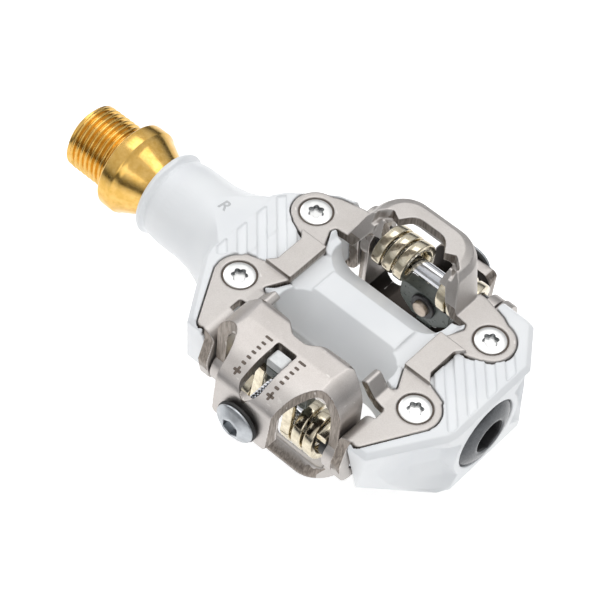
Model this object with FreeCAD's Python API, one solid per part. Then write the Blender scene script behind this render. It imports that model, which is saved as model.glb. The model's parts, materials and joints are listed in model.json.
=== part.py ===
import FreeCAD, Part
import math
import os

# A double-sided clipless pedal, right-hand side. Millimetres.
# +X runs outboard along the spindle axis, +Y is forward, +Z is up. The origin is on the spindle
# axis at the flange face that seats against the crank. Everything over the cleat is drawn about
# the cleat centre, at x = CLEAT_X, and moved there when it is written out. The underside is the
# top turned half a turn about the spindle axis.

V = FreeCAD.Vector
X_AXIS = V(1, 0, 0)
Y_AXIS = V(0, 1, 0)
Z_AXIS = V(0, 0, 1)
ORIGIN = V(0, 0, 0)

# ---- driving dimensions ------------------------------------------------------------------

CLEAT_X = 60.8                # crank seat to cleat centre

SEAT_X = -CLEAT_X             # crank seat, seen from the cleat centre
THREAD_RADIUS = 7.144         # 9/16 inch major diameter
THREAD_LENGTH = 11.45
FLANGE_RADIUS = 9.45
FLANGE_WIDTH = 3.4
CRANK_HEX = 8.0               # hex key size in the crank end
FIT = 0.04                    # radial clearance of running fits

NECK_END_X = -50.9
NECK_RADIUS = 9.05
NOSE_X = 31.1
BODY_TOP = 9.9                # half height of the body and of the plate faces
LAND_FLOOR = 9.45             # floor of the grooves in the grip lands
CREST_Z = 9.1                 # top of the hub tube between the catches
WINDOW_HALF = 17.8            # half width of the openings before and behind the hub tube
TUBE_HALF = 9.2               # hub tube half width, front to back

JOURNAL_RADIUS = 6.0
BUSH_RADIUS = 7.3
HUB_BORE = 5.9
AXLE_RADIUS = 4.7
BEARING_X0 = 15.5
BEARING_WIDTH = 5.0
BEARING_RADIUS = 6.5
BEARING_BORE = 3.0
BALL_PITCH = 4.75
BALL_RADIUS = 0.95
BALL_COUNT = 9
CAP_RADIUS = 7.7
CAP_X0 = 26.2
CAP_CROWN = 32.0              # the domed cap stands a little proud of the nose face

PLATE_THICKNESS = 2.2
SCREW_X = 21.72
SCREW_Y = 10.8
BOSS_RADIUS = 4.9
BRIDGE_X0 = 14.1
BRIDGE_X1 = 18.9
BRIDGE_HALF = 5.15
BRIDGE_TOP = 10.9
EAR_INNER = 15.4              # inner face of the pivot ears
EAR_THICKNESS = 2.2
LOOP_TOP = 17.6

PIVOT_Y = -21.4               # pivot pin of the top claw, level with the spindle
PIN_RADIUS = 1.75
SPRING_RADIUS = 4.75
SPRING_WIRE = (2.2, 1.7)      # wire section, along the pin and across it
SPRING_PITCH = 2.72
SPRING_TURNS = 2.75
SPRING_X0 = 2.9
SPRING_LEG = 11.5
SPRING_LEAN = 6.0             # the legs lean forward on to the block, in degrees

CLAW_HALF = 15.1
CLAW_WALL = 2.3
CLAW_TOP = 18.2
CLAW_REAR_Y = -34.5
BOLT_Z = 8.6
BOLT_RADIUS = 2.0
BOLT_HEAD_RADIUS = 4.5
BOLT_END_Y = -18.9
BLOCK_Y1 = -20.2              # front face of the tension block, slackest
BLOCK_DEPTH = 2.8
POINTER = (-25.5, -22.7)      # rear and front of the indicator in the claw's window

# ---- shape helpers -----------------------------------------------------------------------


def corner_wire(points, z=0.0):
    """A closed wire in a level plane. A point (x, y, r) has its corner rounded to radius r."""
    count = len(points)
    spots = [V(p[0], p[1], z) for p in points]
    ends = []
    for i, point in enumerate(points):
        here = spots[i]
        if len(point) < 3:
            ends.append((here, None, here))
            continue
        before = (spots[i - 1] - here).normalize()
        after = (spots[(i + 1) % count] - here).normalize()
        half = before.getAngle(after) / 2
        back = point[2] / math.tan(half)
        middle = here + (before + after).normalize() * (point[2] / math.sin(half) - point[2])
        ends.append((here + before * back, middle, here + after * back))
    edges = []
    for i, (first, middle, last) in enumerate(ends):
        if middle is not None:
            edges.append(Part.Arc(first, middle, last).toShape())
        following = ends[(i + 1) % count][0]
        if (following - last).Length > 1e-6:
            edges.append(Part.LineSegment(last, following).toShape())
    return Part.Wire(edges)


def prism(points, z0, z1):
    return Part.Face(corner_wire(points, z0)).extrude(V(0, 0, z1 - z0))


def side_prism(points, x0, x1):
    """A prism along X over an outline of (y, z) points."""
    shape = prism(points, x0, x1)
    shape.rotate(ORIGIN, V(1, 1, 1), 120)
    return shape


def front_prism(points, y0, y1):
    """A prism along Y over an outline of (x, z) points."""
    shape = prism(points, -y1, -y0)
    shape.rotate(ORIGIN, X_AXIS, 90)
    return shape


def box(x0, x1, y0, y1, z0, z1):
    return Part.makeBox(x1 - x0, y1 - y0, z1 - z0, V(x0, y0, z0))


def rod_x(radius, x0, x1, y=0.0, z=0.0):
    return Part.makeCylinder(radius, x1 - x0, V(x0, y, z), X_AXIS)


def rod_y(radius, y0, y1, x=0.0, z=0.0):
    return Part.makeCylinder(radius, y1 - y0, V(x, y0, z), Y_AXIS)


def rod_z(radius, z0, z1, x=0.0, y=0.0):
    return Part.makeCylinder(radius, z1 - z0, V(x, y, z0), Z_AXIS)


def tube_x(outer, inner, x0, x1, y=0.0, z=0.0):
    return rod_x(outer, x0, x1, y, z).cut(rod_x(inner, x0 - 1, x1 + 1, y, z))


def hex_prism(across_flats, depth):
    """A hexagonal prism from the origin along +Z."""
    corner = across_flats / math.sqrt(3)
    points = [(corner * math.cos(math.radians(60 * i)), corner * math.sin(math.radians(60 * i)))
              for i in range(6)]
    return prism(points, 0, depth)


def turned_x(profile):
    """Turns a closed profile of (x, r) points about X. (xm, rm, x, r) is an arc through xm, rm."""
    edges = []
    last = V(profile[0][0], profile[0][1], 0)
    first = last
    for point in profile[1:]:
        end = V(point[-2], point[-1], 0)
        if len(point) == 4:
            edges.append(Part.Arc(last, V(point[0], point[1], 0), end).toShape())
        else:
            edges.append(Part.LineSegment(last, end).toShape())
        last = end
    edges.append(Part.LineSegment(last, first).toShape())
    return Part.Face(Part.Wire(edges)).revolve(ORIGIN, X_AXIS, 360)


def stack(outlines):
    """Straight-sided loft through (z, points) outlines that have the same corners in order."""
    wires = [corner_wire(points, z) for z, points in outlines]
    return Part.makeLoft(wires, True, True)


def mirrored(shape):
    """The same shape on the other side of the cleat centre."""
    return shape.mirror(ORIGIN, X_AXIS)


def both_sides(shape):
    return shape.fuse(mirrored(shape))


def flip(shape):
    """The underside's copy: half a turn about the spindle axis."""
    copy = shape.copy()
    copy.rotate(ORIGIN, X_AXIS, 180)
    return copy


def top_and_bottom(shape):
    return shape.fuse(flip(shape))


def inset(points, depth):
    """The (x, y) corners of a convex outline moved inward by depth, first corner kept first."""
    count = len(points)
    area = sum(points[i - 1][0] * points[i][1] - points[i][0] * points[i - 1][1]
               for i in range(count))
    side = 1 if area > 0 else -1
    lines = []
    for i in range(count):
        (x0, y0), (x1, y1) = points[i], points[(i + 1) % count]
        length = math.hypot(x1 - x0, y1 - y0)
        normal = (-(y1 - y0) / length * side, (x1 - x0) / length * side)
        lines.append((normal, normal[0] * x0 + normal[1] * y0 + depth))
    moved = []
    for i in range(count):
        (a, c), (b, d) = lines[i - 1], lines[i]
        cross = a[0] * b[1] - a[1] * b[0]
        moved.append(((c * b[1] - d * a[1]) / cross, (a[0] * d - b[0] * c) / cross))
    return moved


# ---- plan outlines of the plate, right half ---------------------------------------------

FRONT_LOBE = [(BRIDGE_X0, 4.9), (19.8, 4.5), (23.4, 6.0), (26.6, 11.8), (24.8, 14.3, 1.5),
              (20.2, 16.6), (15.4, 17.8), (13.4, 17.9), (13.4, 10.7), (16.3, 10.4, 0.6),
              (16.7, 9.2, 0.6), (15.0, 5.6)]
REAR_LOBE = [(BRIDGE_X0, -4.9), (16.6, -9.9, 0.5), (15.4, -10.6), (15.4, -14.6),
             (17.8, -14.9, 0.5), (17.8, -24.2), (19.6, -24.8, 1.2), (26.4, -12.6),
             (24.4, -6.2), (20.0, -4.7)]
LOBES = (FRONT_LOBE, REAR_LOBE)

# ---- body frame --------------------------------------------------------------------------

OUTER_TOP = [(NOSE_X, 11.2), (25.3, 19.4), (23.6, 19.8), (15.0, 19.9), (15.0, -25.4),
             (22.3, -25.3), (30.6, -11.6), (NOSE_X, -9.6)]
OUTER_BASE = [(NOSE_X, 11.2), (25.9, 19.6), (22.0, 25.0), (15.0, 25.4), (15.0, -20.9),
              (18.3, -20.9), (29.8, -11.4), (NOSE_X, -9.0)]
INNER_TOP = [(-31.0, 8.4), (-29.4, 10.9), (-21.6, 17.5), (-15.0, 19.9), (-15.0, -25.4),
             (-21.6, -25.2), (-29.8, -12.2), (-30.6, -9.9)]
INNER_BASE = [(-30.6, 9.9), (-29.8, 12.2), (-21.6, 25.2), (-15.0, 25.4), (-15.0, -20.9),
              (-25.0, -20.9), (-30.4, -13.0), (-31.0, -9.0)]
EDGE_CHAMFER = 1.0


def side_block(top, base):
    """A block between its top and underside outlines, with chamfered rims."""
    rim = BODY_TOP + 0.05 - EDGE_CHAMFER
    return stack([(-BODY_TOP - 0.05, inset(base, EDGE_CHAMFER)), (-rim, base), (rim, top),
                  (BODY_TOP + 0.05, inset(top, EDGE_CHAMFER))])


def neck():
    """The round neck with its end bead, flaring into the inboard block under flat facets."""
    shape = turned_x([(NECK_END_X, 0), (NECK_END_X, 8.2), (-50.75, 8.75, -50.3, 8.95),
                      (-49.7, 8.95), (-49.4, 8.6), (-48.9, 8.6), (-46.0, 9.0),
                      (-42.5, NECK_RADIUS), (-35.5, 9.9, -29.6, 12.8), (-24.0, 12.8), (-24.0, 0)])
    facet = side_prism([(-30, 0), (30, 0), (30, 20), (-30, 20)], -60, -20)
    facet.translate(V(46.5, 0, 0))
    facet.rotate(ORIGIN, Y_AXIS, -3.3)
    facet.translate(V(-46.5, 0, 8.9))
    return shape.cut(top_and_bottom(facet))


def flank_cutter():
    """Clears the sloping flank of the hub tube behind its crest, with rounded ends."""
    high = [(-13.6, -30), (-13.6, -2.7, 5.0), (13.6, -2.7, 5.0), (13.6, -30)]
    low = [(-13.6, -30), (-13.6, -8.9, 5.0), (13.6, -8.9, 5.0), (13.6, -30)]
    return stack([(3.0, low), (CREST_Z, high), (CREST_Z + 3.0, high)])


def end_window():
    """The opening behind the hub tube that holds the claw and its springs."""
    return prism([(-WINDOW_HALF, -40), (-WINDOW_HALF, -TUBE_HALF, 5.0),
                  (WINDOW_HALF, -TUBE_HALF, 5.0), (WINDOW_HALF, -40)], -30, 30)


def plate_seats():
    """What the body gives up for the plate on top: its lobes and its bridges."""
    seat = BODY_TOP - PLATE_THICKNESS
    shapes = []
    for lobe in LOBES:
        face = Part.Face(corner_wire(lobe, seat))
        wide = face.makeOffset2D(0.25)
        shapes.append(wide.extrude(V(0, 0, 8)))
    for sign in (1, -1):
        shapes.append(rod_z(BOSS_RADIUS + 0.25, seat, 20, SCREW_X, sign * SCREW_Y))
    shapes.append(box(10.0, EAR_INNER + EAR_THICKNESS + 0.5, -40, -10.2, seat, 20))
    shapes.append(box(BRIDGE_X0 - 4, BRIDGE_X1 + 0.25, -BRIDGE_HALF, BRIDGE_HALF,
                      BRIDGE_TOP - PLATE_THICKNESS - 0.05, 20))
    right = shapes[0].multiFuse(shapes[1:])
    return both_sides(right)


def grip_grooves():
    """Shallow parallel grooves across the two grip lands on top."""
    direction = V(-0.68, 0.733, 0)
    across = V(0.733, 0.68, 0)
    turn = math.degrees(math.atan2(direction.y, direction.x))
    grooves = []
    for i in range(-9, 10):
        bar = box(-40, 40, 0, 1.9, LAND_FLOOR, 20)
        bar.rotate(ORIGIN, Z_AXIS, turn)
        bar.translate(across * (3.8 * i + 0.95))
        grooves.append(bar)
    bars = grooves[0].multiFuse(grooves[1:])
    outboard = prism([(17.5, 3.4), (17.5, -3.4), (25.4, -9.5), (27.9, -12.0), (29.9, -9.9),
                      (29.9, 9.9), (27.9, 12.6), (25.4, 9.5)], LAND_FLOOR - 1, 20)
    inboard = prism([(-17.5, 3.4), (-17.5, -3.4), (-25.4, -7.0), (-28.9, -11.0), (-29.5, -9.9),
                     (-29.6, 8.2), (-27.6, 11.3), (-25.4, 9.5)], LAND_FLOOR - 1, 20)
    return bars.common(outboard.fuse(inboard))


SCOOP_LEVELS = [              # height, where it starts along the face, depth midway, depth at the cap
    (-8.6, 0.50, 0.1, 0.6), (-5.6, 0.28, 1.1, 2.3), (-2.0, 0.20, 2.0, 3.5), (2.0, 0.17, 2.3, 3.4),
    (5.4, 0.17, 2.0, 1.4), (7.9, 0.22, 1.1, -1.2), (8.6, 0.30, 0.5, -2.2)]


def scoop():
    """A hollow milled in the outboard diagonal face, deeper towards the cap it stops short of."""
    outlines = []
    for z, start, middle, end in SCOOP_LEVELS:
        share = (z + BODY_TOP) / (2 * BODY_TOP)
        corners = [V(*OUTER_BASE[k], 0) * (1 - share) + V(*OUTER_TOP[k], 0) * share for k in (5, 6)]
        along = corners[1] - corners[0]
        outward = V(along.y, -along.x, 0).normalize()
        line = [corners[0] + along * start + outward * 0.1,
                corners[0] + along * 0.62 - outward * middle,
                corners[0] + along * 1.05 - outward * end,
                corners[0] + along * 2.0 - outward * end]
        line += [line[3] + outward * 14, line[0] + outward * 14]
        outlines.append((z, [(point.x, point.y) for point in line]))
    return stack(outlines).cut(rod_x(CAP_RADIUS + 1.5, 20, 50))


def body_frame():
    hub = box(-19.0, 19.0, -15.5, 15.5, -CREST_Z, CREST_Z)
    body = side_block(OUTER_TOP, OUTER_BASE)
    body = body.fuse([side_block(INNER_TOP, INNER_BASE), neck(), hub])
    nose = tube_x(BUSH_RADIUS + 2.2, 1.0, 10.0, 30.0)
    body = body.fuse(nose)
    cutters = [end_window(), flip(end_window())]
    for cutter in (flank_cutter(), flank_cutter().mirror(ORIGIN, Y_AXIS)):
        cutters += [cutter, flip(cutter)]
    for cutter in (plate_seats(), grip_grooves(), scoop()):
        cutters += [cutter, flip(cutter)]
    for x in (SCREW_X, -SCREW_X):
        for y in (SCREW_Y, -SCREW_Y):
            cutters.append(rod_z(2.0, -20, 20, x, y))
    cutters.append(rod_x(BUSH_RADIUS, -60, -35.6))
    cutters.append(rod_x(HUB_BORE, -40, 20))
    cutters.append(rod_x(BEARING_RADIUS, BEARING_X0, 30))
    cutters.append(rod_x(CAP_RADIUS, CAP_X0, 40))
    for cutter in cutters:
        body = body.cut(cutter)
    return body.removeSplitter()


# ---- spindle, bearings, seal and cap ----------------------------------------------------


def spindle_axle():
    end_x = SEAT_X - THREAD_LENGTH
    shape = turned_x([(end_x, 0), (end_x, THREAD_RADIUS - 0.9),
                      (end_x + 0.9, THREAD_RADIUS), (SEAT_X, THREAD_RADIUS),
                      (SEAT_X, FLANGE_RADIUS - 0.4), (SEAT_X + 0.4, FLANGE_RADIUS),
                      (SEAT_X + FLANGE_WIDTH, FLANGE_RADIUS),
                      (SEAT_X + 6.0, 8.1, SEAT_X + 9.5, JOURNAL_RADIUS),
                      (-35.9, JOURNAL_RADIUS), (-34.6, AXLE_RADIUS), (11.8, AXLE_RADIUS),
                      (12.6, 3.9), (BEARING_X0, 3.9), (BEARING_X0, BEARING_BORE),
                      (25.2, BEARING_BORE), (25.6, BEARING_BORE - 0.4), (25.6, 0)])
    socket = hex_prism(CRANK_HEX, 8.0)
    socket.rotate(ORIGIN, Y_AXIS, 90)
    socket.translate(V(end_x - 0.01, 0, 0))
    mouth = Part.makeCone(4.9, 4.3, 0.8, V(end_x - 0.01, 0, 0), X_AXIS)
    return shape.cut(socket).cut(mouth)


def bearing_rings():
    """Inner and outer ring of the outboard ball bearing, with their ball grooves."""
    x1 = BEARING_X0 + BEARING_WIDTH
    middle = BEARING_X0 + BEARING_WIDTH / 2
    groove = Part.makeTorus(BALL_PITCH, BALL_RADIUS + FIT, V(middle, 0, 0), X_AXIS)
    inner = tube_x(BALL_PITCH - 0.62, BEARING_BORE, BEARING_X0, x1).cut(groove)
    outer = tube_x(BEARING_RADIUS, BALL_PITCH + 0.62, BEARING_X0, x1).cut(groove)
    return inner, outer


def ball_centres():
    middle = BEARING_X0 + BEARING_WIDTH / 2
    for i in range(BALL_COUNT):
        angle = 2 * math.pi * i / BALL_COUNT
        yield V(middle, BALL_PITCH * math.cos(angle), BALL_PITCH * math.sin(angle))


def bearing_balls():
    return Part.makeCompound([Part.makeSphere(BALL_RADIUS, c) for c in ball_centres()])


def bearing_cage():
    middle = BEARING_X0 + BEARING_WIDTH / 2
    cage = tube_x(BALL_PITCH + 0.3, BALL_PITCH - 0.3, middle - 1.6, middle + 1.6)
    for centre in ball_centres():
        outward = V(0, centre.y, centre.z).normalize()
        start = V(middle, 0, 0) + outward * (BALL_PITCH - 1.5)
        cage = cage.cut(Part.makeCylinder(BALL_RADIUS + 0.02, 3.0, start, outward))
    return cage


def spindle_locknut():
    nut = hex_prism(10.0, 4.0)
    nut.rotate(ORIGIN, Y_AXIS, 90)
    nut.translate(V(BEARING_X0 + BEARING_WIDTH, 0, 0))
    chamfer = turned_x([(20, 0), (20, 5.3), (20.9, 5.77), (24.0, 5.77), (24.6, 5.2), (24.6, 0)])
    return nut.common(chamfer).cut(rod_x(BEARING_BORE, 10, 30))


def inboard_bush():
    return tube_x(BUSH_RADIUS, JOURNAL_RADIUS + FIT, NECK_END_X + 2.2, -36.6)


def lip_seal():
    face = NECK_END_X + 0.1
    back = NECK_END_X + 2.2
    return turned_x([(face, JOURNAL_RADIUS + 0.08), (face, 6.6), (face + 0.6, BUSH_RADIUS),
                     (back, BUSH_RADIUS), (back, JOURNAL_RADIUS + 0.08)])


def end_cap():
    """A domed screw-in cap with a hex socket."""
    shape = turned_x([(CAP_X0, 0), (CAP_X0, 6.2), (CAP_X0 + 1.4, 6.2), (CAP_X0 + 1.4, CAP_RADIUS),
                      (NOSE_X - 0.6, CAP_RADIUS), (NOSE_X - 0.25, CAP_RADIUS - 0.3),
                      (CAP_CROWN - 0.25, 5.8, CAP_CROWN, 4.2), (CAP_CROWN, 0)])
    socket = hex_prism(6.0, 5.0)
    socket.rotate(ORIGIN, Y_AXIS, 90)
    socket.translate(V(CAP_CROWN - 3.8, 0, 0))
    return shape.cut(socket)


def cap_ring():
    return tube_x(CAP_RADIUS, 6.2, CAP_X0, CAP_X0 + 1.4)


# ---- cleat plate -------------------------------------------------------------------------


def loop_tooth():
    """A small pyramid in the arch's rear corner that bites the cleat's front edge."""
    return stack([(12.6, [(7.2, 12.4), (10.2, 12.4), (10.2, 15.6), (7.2, 15.6)]),
                  (16.0, [(8.0, 14.0), (8.6, 14.0), (8.6, 14.6), (8.0, 14.6)])])


def catch_loop():
    """The front catch: a hood that leans forward, open to the rear and arched over the cleat."""
    def outline(side, rear, front, corner):
        return [(-side, rear), (side, rear), (side, front, corner), (-side, front, corner)]

    def levels(gap, reach):
        roof = LOOP_TOP - gap
        return [(BODY_TOP - PLATE_THICKNESS, outline(14.4 - gap, 8.8 - reach, 17.8 - gap, 2.6)),
                (roof - 2.0, outline(11.4 - gap, 12.9 - reach, 22.4 - gap, 6.4)),
                (roof - 0.7, outline(10.4 - gap, 13.6 - reach, 22.0 - gap, 6.0)),
                (roof, outline(8.9 - gap, 14.0 - reach, 20.8 - gap, 5.2))]

    hood = stack(levels(0, 0)).cut(stack(levels(PLATE_THICKNESS, 8.0)))
    hood = hood.cut(box(-30, 30, 0, 10.6, 0, 30))
    arch = prism([(-9.2, 9), (-8.8, 14.8), (-5.8, 15.0, 1.0), (-3.6, 18.3, 3.0),
                  (3.6, 18.3, 3.0), (5.8, 15.0, 1.0), (8.8, 14.8), (9.2, 9)], 12, 30)
    notch = prism([(5.6, 9), (5.6, 15.2), (7.7, 16.4, 0.5), (9.9, 14.6), (9.9, 9)], 15.0, 30)
    under = box(-9.5, 9.5, 15, 40, 0, LOOP_TOP - 4.9)
    tooth = loop_tooth()
    hood = hood.cut([arch, under, notch, mirrored(notch)])
    return hood.fuse([tooth, mirrored(tooth)])


def guide_tongue():
    """A tongue that rises from the rear boss towards the cleat."""
    return front_prism([(17.0, 7.7), (17.0, 9.9), (15.2, 10.1), (12.9, 13.1, 0.6),
                        (11.4, 12.1, 0.5), (13.4, 9.2), (15.2, 7.7)], -14.5, -10.7)


def pivot_ear():
    """The wing's inner rim rolled down to the pivot pin."""
    outer = EAR_INNER + EAR_THICKNESS
    wall = side_prism([(-17.6, 7.6), (-16.8, 0.5, 0.5), (-18.0, -4.2, 3.4), (-25.2, -4.2, 3.4),
                       (-26.3, 2.5, 1.5), (-24.6, 7.6)], EAR_INNER, outer)
    bend_z = BODY_TOP - 2.6
    bend = rod_y(2.6, -24.6, -17.6, EAR_INNER + 2.6, bend_z)
    bend = bend.cut(rod_y(2.6 - PLATE_THICKNESS, -30, -10, EAR_INNER + 2.6, bend_z))
    bend = bend.common(box(EAR_INNER, EAR_INNER + 2.6, -30, -10, bend_z, 20))
    return wall.fuse(bend)


def cleat_plate():
    seat = BODY_TOP - PLATE_THICKNESS
    parts = [prism(lobe, seat, BODY_TOP) for lobe in LOBES]
    for sign in (1, -1):
        parts.append(rod_z(BOSS_RADIUS, seat, BODY_TOP, SCREW_X, sign * SCREW_Y))
    flare = BRIDGE_X1 + 1.5
    bridge = prism([(BRIDGE_X0, -BRIDGE_HALF), (flare, -BRIDGE_HALF), (BRIDGE_X1, -3.3, 1.2),
                    (BRIDGE_X1, 3.3, 1.2), (flare, BRIDGE_HALF), (BRIDGE_X0, BRIDGE_HALF)],
                   BRIDGE_TOP - PLATE_THICKNESS, BRIDGE_TOP)
    parts += [bridge, guide_tongue(), pivot_ear()]
    right = parts[0].multiFuse(parts[1:])
    for sign in (1, -1):
        y = sign * SCREW_Y
        right = right.cut(rod_z(2.2, 0, 20, SCREW_X, y))
        right = right.cut(rod_z(3.45, BODY_TOP - 1.7, 20, SCREW_X, y))
    right = right.cut(rod_x(PIN_RADIUS, 0, 40, PIVOT_Y))
    right = right.cut(box(11.0, 17.6, -17.0, -15.0, 0, 20))
    plate = right.fuse([mirrored(right), catch_loop()])
    return plate.removeSplitter()


def plate_screws():
    """Four flat-head screws with six-lobe sockets."""
    screws = []
    for x in (SCREW_X, -SCREW_X):
        for y in (SCREW_Y, -SCREW_Y):
            screw = rod_z(3.05, BODY_TOP - 1.7, BODY_TOP - 0.15, x, y)
            screw = screw.fuse(rod_z(2.0, 2.5, BODY_TOP - 1.7, x, y))
            lobes = [rod_z(1.05, BODY_TOP - 1.2, 12, x, y)]
            for i in range(6):
                angle = math.radians(60 * i)
                lobes.append(rod_z(0.36, BODY_TOP - 1.2, 12, x + 1.12 * math.cos(angle),
                                   y + 1.12 * math.sin(angle)))
            screws.append(screw.cut(lobes[0].multiFuse(lobes[1:])))
    return Part.makeCompound(screws)


# ---- pivot pins, bushes and springs -----------------------------------------------------


def pivot_pin():
    half = EAR_INNER + EAR_THICKNESS
    return rod_x(PIN_RADIUS, -half, half, PIVOT_Y)


def spring_bushes():
    outer = tube_x(3.0, PIN_RADIUS, 11.0, 12.75, PIVOT_Y)
    return Part.makeCompound([outer, mirrored(outer)])


def torsion_spring():
    """A flat-wire coil round the pin, a leg up behind the block and a short straight tang."""
    wide, thick = SPRING_WIRE
    mean = SPRING_RADIUS - thick / 2
    start = SPRING_X0 + wide / 2
    height = SPRING_PITCH * SPRING_TURNS
    helix = Part.makeHelix(SPRING_PITCH, height, mean)
    section = Part.makePolygon([V(mean - thick / 2, 0, -wide / 2), V(mean + thick / 2, 0, -wide / 2),
                                V(mean + thick / 2, 0, wide / 2), V(mean - thick / 2, 0, wide / 2),
                                V(mean - thick / 2, 0, -wide / 2)])
    coil = Part.Wire(helix).makePipeShell([section], True, True)
    coil.rotate(ORIGIN, Y_AXIS, 90)
    coil.rotate(ORIGIN, X_AXIS, -90)
    coil.translate(V(start, PIVOT_Y, 0))
    rear = PIVOT_Y - mean
    leg = box(start - wide / 2, start + wide / 2, -thick / 2, thick / 2, 0, SPRING_LEG)
    leg.rotate(ORIGIN, X_AXIS, -SPRING_LEAN)
    leg.translate(V(0, rear, 0))
    end = start + height
    tang = box(end - wide / 2, end + wide / 2, PIVOT_Y - 3.4, PIVOT_Y, mean - thick / 2,
               mean + thick / 2)
    return coil, leg, tang


# ---- claw --------------------------------------------------------------------------------


def claw_volume(half, wall):
    """The claw's outer body, or with a wall its hollow inside."""
    top = CLAW_TOP + 0.2 - wall
    across = Part.Wire([
        Part.LineSegment(V(-half, 0, -8), V(half, 0, -8)).toShape(),
        Part.LineSegment(V(half, 0, -8), V(half, 0, 11.0 - wall * 0.3)).toShape(),
        Part.Arc(V(half, 0, 11.0 - wall * 0.3), V(half - 1.5, 0, 15.6 - wall * 0.7),
                 V(9.3 - wall * 0.4, 0, top)).toShape(),
        Part.LineSegment(V(9.3 - wall * 0.4, 0, top), V(-9.3 + wall * 0.4, 0, top)).toShape(),
        Part.Arc(V(-9.3 + wall * 0.4, 0, top), V(-half + 1.5, 0, 15.6 - wall * 0.7),
                 V(-half, 0, 11.0 - wall * 0.3)).toShape(),
        Part.LineSegment(V(-half, 0, 11.0 - wall * 0.3), V(-half, 0, -8)).toShape()])
    front = Part.Face(across).extrude(V(0, -60, 0))
    rear = CLAW_REAR_Y + wall
    if wall:
        side = [(-12.0, -9.0), (-12.0, 15.4), (-17.5, 15.6), (-24.0, 15.9), (rear + 0.6, 13.8, 1.6),
                (rear, -9.0)]
    else:
        side = [(-15.8, -9.0), (-15.8, 17.0, 0.5), (-17.2, 18.0, 1.5), (-21.5, CLAW_TOP, 5.0),
                (-28.0, 17.9, 12.0), (rear + 0.9, 15.6, 3.0), (rear, 4.9, 0.8), (-30.0, 4.6),
                (-30.0, -9.0)]
    return front.common(side_prism(side, -40, 40))


def claw_outline():
    """Plan of the claw's roof, with the waist on each side swept in to the bolt boss."""
    right = [(1.6, -18.9, 1.4), (4.6, -16.4, 1.6), (9.6, -16.0, 8.0), (16.0, -18.3), (16.0, -24.1),
             (10.0, -24.0, 3.6), (7.5, -29.0, 14.0), (6.1, -37.0)]
    left = [(-point[0],) + point[1:] for point in reversed(right)]
    return prism(right + left, -20, 40)


def claw_marks():
    """The tension scale beside the window: a dash, five ticks and a cross on each side."""
    marks = []
    for sign in (1, -1):
        x = 4.0 * sign
        marks.append(box(x - 0.85, x + 0.85, -22.85, -22.35, 0, 30))
        for i in range(5):
            y = -24.05 - 1.31 * i
            marks.append(box(x - 0.5, x + 0.5, y - 0.25, y + 0.25, 0, 30))
        marks.append(box(x - 0.8, x + 0.8, -31.25, -30.75, 0, 30))
        marks.append(box(x - 0.25, x + 0.25, -31.8, -30.2, 0, 30))
    cutter = marks[0].multiFuse(marks[1:])
    skin = claw_volume(CLAW_HALF, 0)
    sunk = skin.copy()
    sunk.translate(V(0, 0, -0.3))
    return cutter.common(skin).cut(sunk)


def claw():
    shell = claw_volume(CLAW_HALF, 0).cut(claw_volume(CLAW_HALF - CLAW_WALL, CLAW_WALL))
    shell = shell.common(claw_outline())
    cheek = side_prism([(-10.0, 20.0), (-10.0, 12.0), (-15.6, 9.0), (-17.2, -3.9, 3.8),
                        (-25.6, -3.9, 3.8), (-24.6, 8.0), (-40.0, 8.0), (-40.0, 20.0)], -40, 40)
    rear = front_prism([(-8.0, 20.0), (-8.0, 9.0), (-5.9, 4.8, 2.4), (5.9, 4.8, 2.4), (8.0, 9.0),
                        (8.0, 20.0)], -40, -28)
    shell = shell.common(cheek.fuse(rear))
    window = prism([(-2.25, -22.0, 0.4), (2.25, -22.0, 0.4), (2.25, -33.6, 2.2),
                    (-2.25, -33.6, 2.2)], 13.0, 30)
    shell = shell.cut([window, claw_marks()])
    for sign in (1, -1):
        boss = rod_x(4.25, 12.85, CLAW_HALF, PIVOT_Y)
        shell = shell.fuse(boss if sign > 0 else mirrored(boss))
    shell = shell.cut(rod_x(PIN_RADIUS + FIT, -40, 40, PIVOT_Y))
    shell = shell.cut(rod_y(BOLT_RADIUS + FIT, -50, -28, 0, BOLT_Z))
    return shell.removeSplitter()


def bolt_washer():
    washer = rod_y(3.7, CLAW_REAR_Y - 0.5, CLAW_REAR_Y, 0, BOLT_Z)
    return washer.cut(rod_y(BOLT_RADIUS + FIT, -60, 0, 0, BOLT_Z))


def tension_bolt():
    back = CLAW_REAR_Y - 0.5
    head = turned_x([(0, 0), (0, BOLT_HEAD_RADIUS - 0.2), (0.2, BOLT_HEAD_RADIUS),
                     (0.7, BOLT_HEAD_RADIUS), (1.5, 3.5, 1.9, 2.2), (1.9, 0)])
    head.rotate(ORIGIN, Z_AXIS, -90)
    head.translate(V(0, back, BOLT_Z))
    shank = rod_y(BOLT_RADIUS, back, BOLT_END_Y, 0, BOLT_Z)
    tip = Part.makeCone(BOLT_RADIUS, BOLT_RADIUS - 0.5, 0.5, V(0, BOLT_END_Y, BOLT_Z), Y_AXIS)
    socket = hex_prism(3.0, 1.6)
    socket.rotate(ORIGIN, X_AXIS, -90)
    socket.translate(V(0, back - 2.0, BOLT_Z))
    return head.fuse([shank, tip]).cut(socket)


def tension_block():
    """The nut block the springs push on, with an arm that carries the indicator."""
    outline = [(-6.2, 5.6, 1.2), (6.2, 5.6, 1.2), (6.2, 10.4, 2.2), (2.9, 13.2, 1.0),
               (-2.9, 13.2, 1.0), (-6.2, 10.4, 2.2)]
    block = front_prism(outline, BLOCK_Y1 - BLOCK_DEPTH, BLOCK_Y1)
    arm = box(-1.85, 1.85, POINTER[0], BLOCK_Y1 - 0.6, 12.4, 15.0)
    return block.fuse(arm).cut(rod_y(BOLT_RADIUS + FIT, -60, 0, 0, BOLT_Z))


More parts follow.
